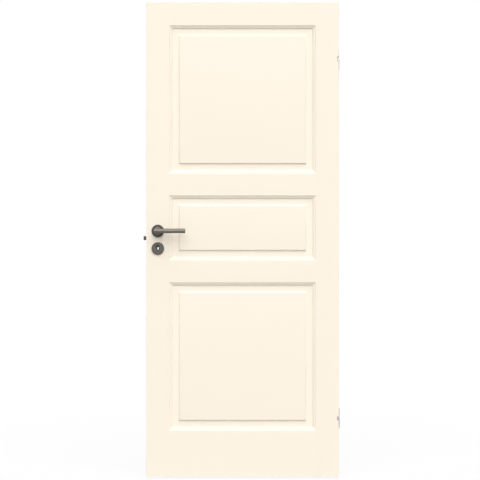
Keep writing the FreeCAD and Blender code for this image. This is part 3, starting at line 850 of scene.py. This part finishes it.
def broken_edges(node, name, width, made):
    form = bmesh.new()
    form.from_mesh(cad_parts[node].data)
    bmesh.ops.remove_doubles(form, verts=form.verts, dist=SAME_POINT)
    bmesh.ops.dissolve_limit(form, angle_limit=STILL_FLAT, verts=form.verts, edges=form.edges)
    return bevelled(solid(name, form, made), width, made)


def countersink(place, way, made):
    """The hole that a screw head sits in."""
    wide, narrow = SCREW_HEAD + SCREW_PLAY, SCREW_HEAD * HEAD_TAPER + SCREW_PLAY
    deep = SCREW_SINK + SCREW_SUNK
    corners = [(0, -deep, 0), (narrow, -deep, 0), (wide, 0, 0), (wide, CUT_OVER, 0),
               (0, CUT_OVER, 0)]
    return turned("countersink", corners, place, way, made, steps=SCREW_STEPS)


ironwork = [("latch_bolt", "latch", "lock_steel", BOLT_EDGE, lock_metal),
            ("lock_faceplate", "leaf", "lock_steel", FACEPLATE_EDGE, lock_metal)]
for name in HINGES:
    ironwork += [(name + "_hinge_door_half", "leaf", "hinge_steel", HINGE_EDGE, hinge_metal),
                 (name + "_hinge_frame_half", "hinge_base", "hinge_steel", HINGE_EDGE, hinge_metal),
                 (name + "_hinge_pin", "hinge_base", "hinge_steel", PIN_EDGE, hinge_metal)]
for node, body, slot, width, made in ironwork:
    piece = broken_edges(node, "soft_" + node, width, made)
    holes = [countersink(place, way, made) for place, way in screw_places.get(node, [])]
    if holes:
        combined(piece, holes, "DIFFERENCE", made)
        polish(piece.data, made, SHARP_BEVEL)
    fitted(piece, body, slot, node)

# %% [markdown]
# Countersunk screws hold the faceplate and the hinge plates. They all look alike, so one small
# Geometry Nodes tree makes the head once and sets a copy at every point of a cloud. The
# direction in which each head faces is an attribute of its point. The head has a cross recess,
# which two crossed blocks cut out of a shallow cone.

# %% Screws through Geometry Nodes
CROSS = (4.2, 0.9)
SCREW_SIZES = {"Head radius": SCREW_HEAD * MM, "Sink": SCREW_SINK * MM,
               "Cross length": CROSS[0] * MM, "Cross width": CROSS[1] * MM}


def screw_tree(made):
    tree = bpy.data.node_groups.new("countersunk_screws", "GeometryNodeTree")
    tree.interface.new_socket("Points", in_out="INPUT", socket_type="NodeSocketGeometry")
    for name in SCREW_SIZES:
        tree.interface.new_socket(name, in_out="INPUT", socket_type="NodeSocketFloat")
    tree.interface.new_socket("Screws", in_out="OUTPUT", socket_type="NodeSocketGeometry")
    graph = Tree(tree)
    given = graph.nodes.new("NodeGroupInput")
    points, radius, sink, length, width = (
        Sock(graph, given.outputs[name]) for name in ("Points", *SCREW_SIZES))
    head = graph.add("GeometryNodeMeshCone", {"fill_type": "NGON"}, {
        "Vertices": SCREW_STEPS, "Radius Top": radius, "Radius Bottom": radius * HEAD_TAPER,
        "Depth": sink})
    cutters = []
    for size in ((length, width), (width, length)):
        block_size = graph.add("ShaderNodeCombineXYZ", None, [*size, sink])
        bar = graph.add("GeometryNodeMeshCube", None, {"Size": block_size})
        lifted = graph.add("ShaderNodeCombineXYZ", None, {"Z": sink})
        cutters.append(graph.add("GeometryNodeTransform", None,
                                 {"Geometry": bar, "Translation": lifted}))
    cross = graph.add("GeometryNodeMeshBoolean", {"operation": "UNION", "solver": "EXACT"})
    # This socket takes many meshes, one link for each bar of the cross.
    for cutter in cutters:
        graph.links.new(cutter.socket, cross.socket.node.inputs[1])
    cut = graph.add("GeometryNodeMeshBoolean", {"operation": "DIFFERENCE", "solver": "EXACT"},
                    {0: head, 1: cross})
    facing = graph.add("GeometryNodeInputNamedAttribute", {"data_type": "FLOAT_VECTOR"},
                       {"Name": "facing"})
    turn = graph.add("FunctionNodeAlignRotationToVector", {"axis": "Z"}, {"Vector": facing})
    copies = graph.add("GeometryNodeInstanceOnPoints", None,
                       {"Points": points, "Instance": cut, "Rotation": turn})
    real = graph.add("GeometryNodeRealizeInstances", None, [copies])
    finish = graph.add("GeometryNodeSetMaterial", None, {"Geometry": real, "Material": made})
    result = graph.nodes.new("NodeGroupOutput")
    graph.links.new(finish.socket, result.inputs[0])
    return tree


print("screw tree ready for", len(SCREW_SIZES), "sizes")

# %% [markdown]
# Each point of the cloud is a place on a plate, a little under its face. The tree's inputs are
# set by their identifiers, before anything is evaluated, and the result becomes a plain mesh,
# because an export drops copies that only a modifier shows.

# %% Set the screws


def screws(name, places, made):
    """One mesh of screws. Places are pairs of a point and the way in which its head faces."""
    below = (SCREW_SINK + SCREW_SUNK) * MM
    cloud = bpy.data.meshes.new(name)
    cloud.from_pydata([place - Vector(way) * below for place, way in places], [], [])
    facing = cloud.attributes.new("facing", "FLOAT_VECTOR", "POINT")
    for value, (_, way) in zip(facing.data, places):
        value.vector = way
    piece = bpy.data.objects.new(name, cloud)
    scene.collection.objects.link(piece)
    setting = piece.modifiers.new("screws", "NODES")
    tree = screw_tree(made)
    setting.node_group = tree
    for socket in tree.interface.items_tree:
        if socket.name in SCREW_SIZES:
            setting[socket.identifier] = SCREW_SIZES[socket.name]
    return applied(piece, made)


faceplate_places = screw_places.pop("lock_faceplate")
hinge_places = [place for places in screw_places.values() for place in places]
fitted(screws("faceplate_screws", faceplate_places, lock_metal), "leaf", "lock_steel")
fitted(screws("hinge_screws", hinge_places, hinge_metal), "leaf", "hinge_steel")

# %% [markdown]
# The picture is plain white behind the leaf, but white all round would wash the mouldings out.
# So the kind of each ray tells what is seen from what lights: the camera sees a white floor and
# a white world, and the leaf gets a much weaker light from both. The floor keeps part of its
# shading, so that a shadow stays under the leaf.

# %% Floor and world
WHITE = (1, 1, 1, 1)
FLOOR_TONE = (0.30, 0.30, 0.30)
MATT = 0.9
FLOOR_GLOW = 1.22
FLOOR_SHADING = 0.30


def seen(tree):
    """1 for a ray from the camera, a reflection or clear glass, and 0 for one that lights."""
    camera_ray, glossy_ray, clear_ray = (
        tree.add("ShaderNodeLightPath", output="Is " + kind + " Ray")
        for kind in ("Camera", "Glossy", "Transmission"))
    return camera_ray + glossy_ray + clear_ray


def backing(name, shading):
    made, tree, shader = material(name, FLOOR_TONE, MATT)
    factor = seen(tree) * (1 - shading)
    glow = tree.add("ShaderNodeEmission", None, {"Color": WHITE, "Strength": FLOOR_GLOW})
    diffuse = Sock(tree, shader.outputs[0])
    mixed = tree.add("ShaderNodeMixShader", None, [factor, diffuse, glow])
    output = tree.nodes["Material Output"]
    tree.links.new(mixed.socket, output.inputs["Surface"])
    return made


def sheet(name, corners, made):
    mesh = bpy.data.meshes.new(name)
    mesh.from_pydata(corners, [], [range(4)])
    mesh.materials.append(made)
    shown = bpy.data.objects.new(name, mesh)
    scene.collection.objects.link(shown)


FLOOR_DROP = 0.008
FLOOR_HALF = 60.0
floor_z = leaf_bottom - FLOOR_DROP
sheet("floor", [(x * FLOOR_HALF, y * FLOOR_HALF, floor_z)
                for x, y in ((-1, -1), (1, -1), (1, 1), (-1, 1))],
      backing("floor_white", FLOOR_SHADING))

SKY_LEVEL = 0.32
world = bpy.data.worlds.new("studio")
world.use_nodes = True
scene.world = world
sky = Tree(world.node_tree)
background = sky.nodes["Background"]
plug(sky, seen(sky) * (1 - SKY_LEVEL) + SKY_LEVEL, background, "Strength")
background.inputs["Color"].default_value = WHITE
print("floor at", round(floor_z, 3))

# %% [markdown]
# Soft light comes from above and a little from the right, so the mouldings' upper slopes stay
# bright and the slopes that face down turn grey. A second lamp behind the leaf lights the back
# as plainly, and the leaf keeps it off the front. Suns do this best, because their light is the
# same all the way down a tall leaf.

# %% Light


def sun(name, height, turn, spread, strength):
    """Parallel light: its height above the level and its turn from straight in front."""
    light = bpy.data.lights.new(name, "SUN")
    light.angle, light.energy = math.radians(spread), strength
    shown = bpy.data.objects.new(name, light)
    shown.rotation_euler = (math.radians(90 - height), 0, math.radians(turn))
    scene.collection.objects.link(shown)


sun("key_light", height=46, turn=6, spread=70, strength=2.95)
sun("back_light", height=25, turn=186, spread=60, strength=1.6)
print("lamps", [light.name for light in bpy.data.lights])

# %% [markdown]
# The last cell sets how colours are shown.

# %% Finish
scene.view_settings.view_transform = "Standard"
